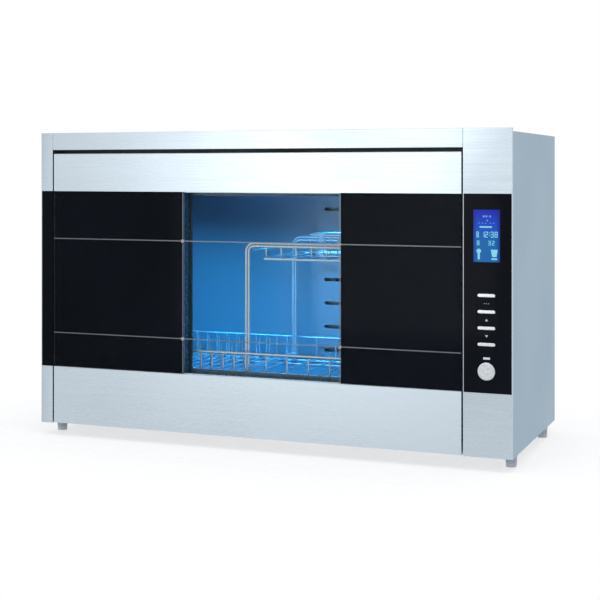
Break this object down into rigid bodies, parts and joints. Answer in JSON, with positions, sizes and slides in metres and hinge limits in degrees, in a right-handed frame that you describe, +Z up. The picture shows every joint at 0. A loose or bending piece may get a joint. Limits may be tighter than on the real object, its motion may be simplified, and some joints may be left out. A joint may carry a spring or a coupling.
{
  "type": "dish sterilizer cabinet",
  "caption": "Wide steel dish sterilizer with a pull-out drawer front, black glass band with a clear window, wire racks inside, side control column and small feet",
  "frame": {"origin": "on the floor under the middle of the cabinet", "axes": "+Z up, front faces -Y, +X to the right of someone facing the front"},
  "size_m": [0.8, 0.3366, 0.505],
  "materials": {
    "brushed_stainless": "horizontal brushed grain",
    "casing_steel": "satin blue-grey casing, fine upright grain",
    "plated_steel": "dull zinc-plated sheet",
    "liner_steel": "fine satin stainless",
    "black_glass": "gloss black glass",
    "clear_glass": "clear tempered glass, faint blue",
    "black_enamel": "gloss enamel",
    "silver_inlay": "satin strip",
    "chrome_trim": "polished plating",
    "black_plastic": "moulded black plastic",
    "grey_plastic": "moulded grey plastic",
    "display_blue": "backlit blue display",
    "indicator_white": "milky light guide",
    "circuit_board": "populated circuit board",
    "lamp_glass": "lit germicidal tube",
    "quartz": "quartz tube",
    "ceramic_white": "unglazed white ceramic",
    "component_steel": "varnished electrical steel",
    "seal_rubber": "grey silicone seal",
    "runner_zinc": "bright zinc",
    "rack_wire": "polished stainless wire",
    "fastener_steel": "plated screws",
    "magnet_black": "sintered ferrite"
  },
  "bodies": {
    "cabinet": {"left_stile": "brushed_stainless", "top_fascia": "brushed_stainless", "control_column": "brushed_stainless", "outer_casing": "casing_steel", "base_pan": "plated_steel", "back_cover": "plated_steel", "front_frame": "plated_steel", "chamber_wrap": "liner_steel", "chamber_back_wall": "liner_steel", "air_duct_cover": "liner_steel", "heater_reflector": "liner_steel", "lamp_reflector": "liner_steel", "heater_guard": "liner_steel", "left_stile_glass": "black_glass", "control_glass": "black_glass", "groove_trim": "black_plastic", "display_module": "black_plastic", "fan_frame": "black_plastic", "cord_gland": "black_plastic", "drawer_sensor": "black_plastic", "button_carrier": "grey_plastic", "feet": "grey_plastic", "ozone_generator": "grey_plastic", "display_lens": "display_blue", "indicator_lens": "indicator_white", "control_board": "circuit_board", "power_board": "circuit_board", "uv_lamp": "lamp_glass", "heater_tube": "quartz", "heater_holders": "ceramic_white", "lamp_holders": "ceramic_white", "transformer": "component_steel", "lamp_ballast": "component_steel", "thermostat": "component_steel", "runner_rails": "runner_zinc", "foot_screws": "fastener_steel", "casing_screws": "fastener_steel"},
    "drawer": {"drawer_front_panel": "brushed_stainless", "drawer_glass": "clear_glass", "glass_print": "black_enamel", "accent_lines": "silver_inlay", "glass_studs": "chrome_trim", "window_spacer": "black_plastic", "drawer_inner_panel": "liner_steel", "inner_window_pane": "clear_glass", "drawer_gasket": "seal_rubber", "sensor_magnet": "magnet_black", "drawer_carriage": "runner_zinc", "drip_tray": "liner_steel", "runner_inner_rails": "runner_zinc"},
    "sliders": {"runner_slides": "runner_zinc"},
    "fan": {"fan_rotor": "black_plastic"},
    "clock_key": {"clock_button": "chrome_trim"},
    "up_key": {"up_button": "chrome_trim"},
    "down_key": {"down_button": "chrome_trim"},
    "menu_key": {"menu_button": "chrome_trim"},
    "power_key": {"power_button": "chrome_trim"},
    "plate_basket": {"lower_rack": "rack_wire"},
    "cup_tier": {"upper_rack": "rack_wire"},
    "cutlery": {"cutlery_basket": "rack_wire"}
  },
  "joints": [
    {"name": "drawer_pull", "type": "slide", "parent": "cabinet", "child": "drawer", "axis": [0, -1, 0], "range_m": [0, 0.24]},
    {"name": "slider_travel", "type": "slide", "parent": "cabinet", "child": "sliders", "axis": [0, -1, 0], "range_m": [0, 0.12]},
    {"name": "fan_spin", "type": "hinge", "parent": "cabinet", "child": "fan", "pos_m": [0.056, 0.1435, 0.25], "axis": [0, 1, 0], "continuous": true},
    {"name": "basket_lift", "type": "slide", "parent": "drawer", "child": "plate_basket", "axis": [0, 0, 1], "range_m": [0, 0.03]},
    {"name": "tier_lift", "type": "slide", "parent": "plate_basket", "child": "cup_tier", "axis": [0, 0, 1], "range_m": [0, 0.03]},
    {"name": "cutlery_lift", "type": "slide", "parent": "cup_tier", "child": "cutlery", "axis": [0, 0, 1], "range_m": [0, 0.03]},
    {"name": "clock_press", "type": "slide", "parent": "cabinet", "child": "clock_key", "axis": [0, 1, 0], "range_m": [0, 0.0012], "stiffness_N_per_m": 800},
    {"name": "up_press", "type": "slide", "parent": "cabinet", "child": "up_key", "axis": [0, 1, 0], "range_m": [0, 0.0012], "stiffness_N_per_m": 800},
    {"name": "down_press", "type": "slide", "parent": "cabinet", "child": "down_key", "axis": [0, 1, 0], "range_m": [0, 0.0012], "stiffness_N_per_m": 800},
    {"name": "menu_press", "type": "slide", "parent": "cabinet", "child": "menu_key", "axis": [0, 1, 0], "range_m": [0, 0.0012], "stiffness_N_per_m": 800},
    {"name": "power_press", "type": "slide", "parent": "cabinet", "child": "power_key", "axis": [0, 1, 0], "range_m": [0, 0.0012], "stiffness_N_per_m": 800}
  ],
  "couplings": [
    {"joint": "slider_travel", "follows": "drawer_pull", "ratio": 0.5}
  ]
}
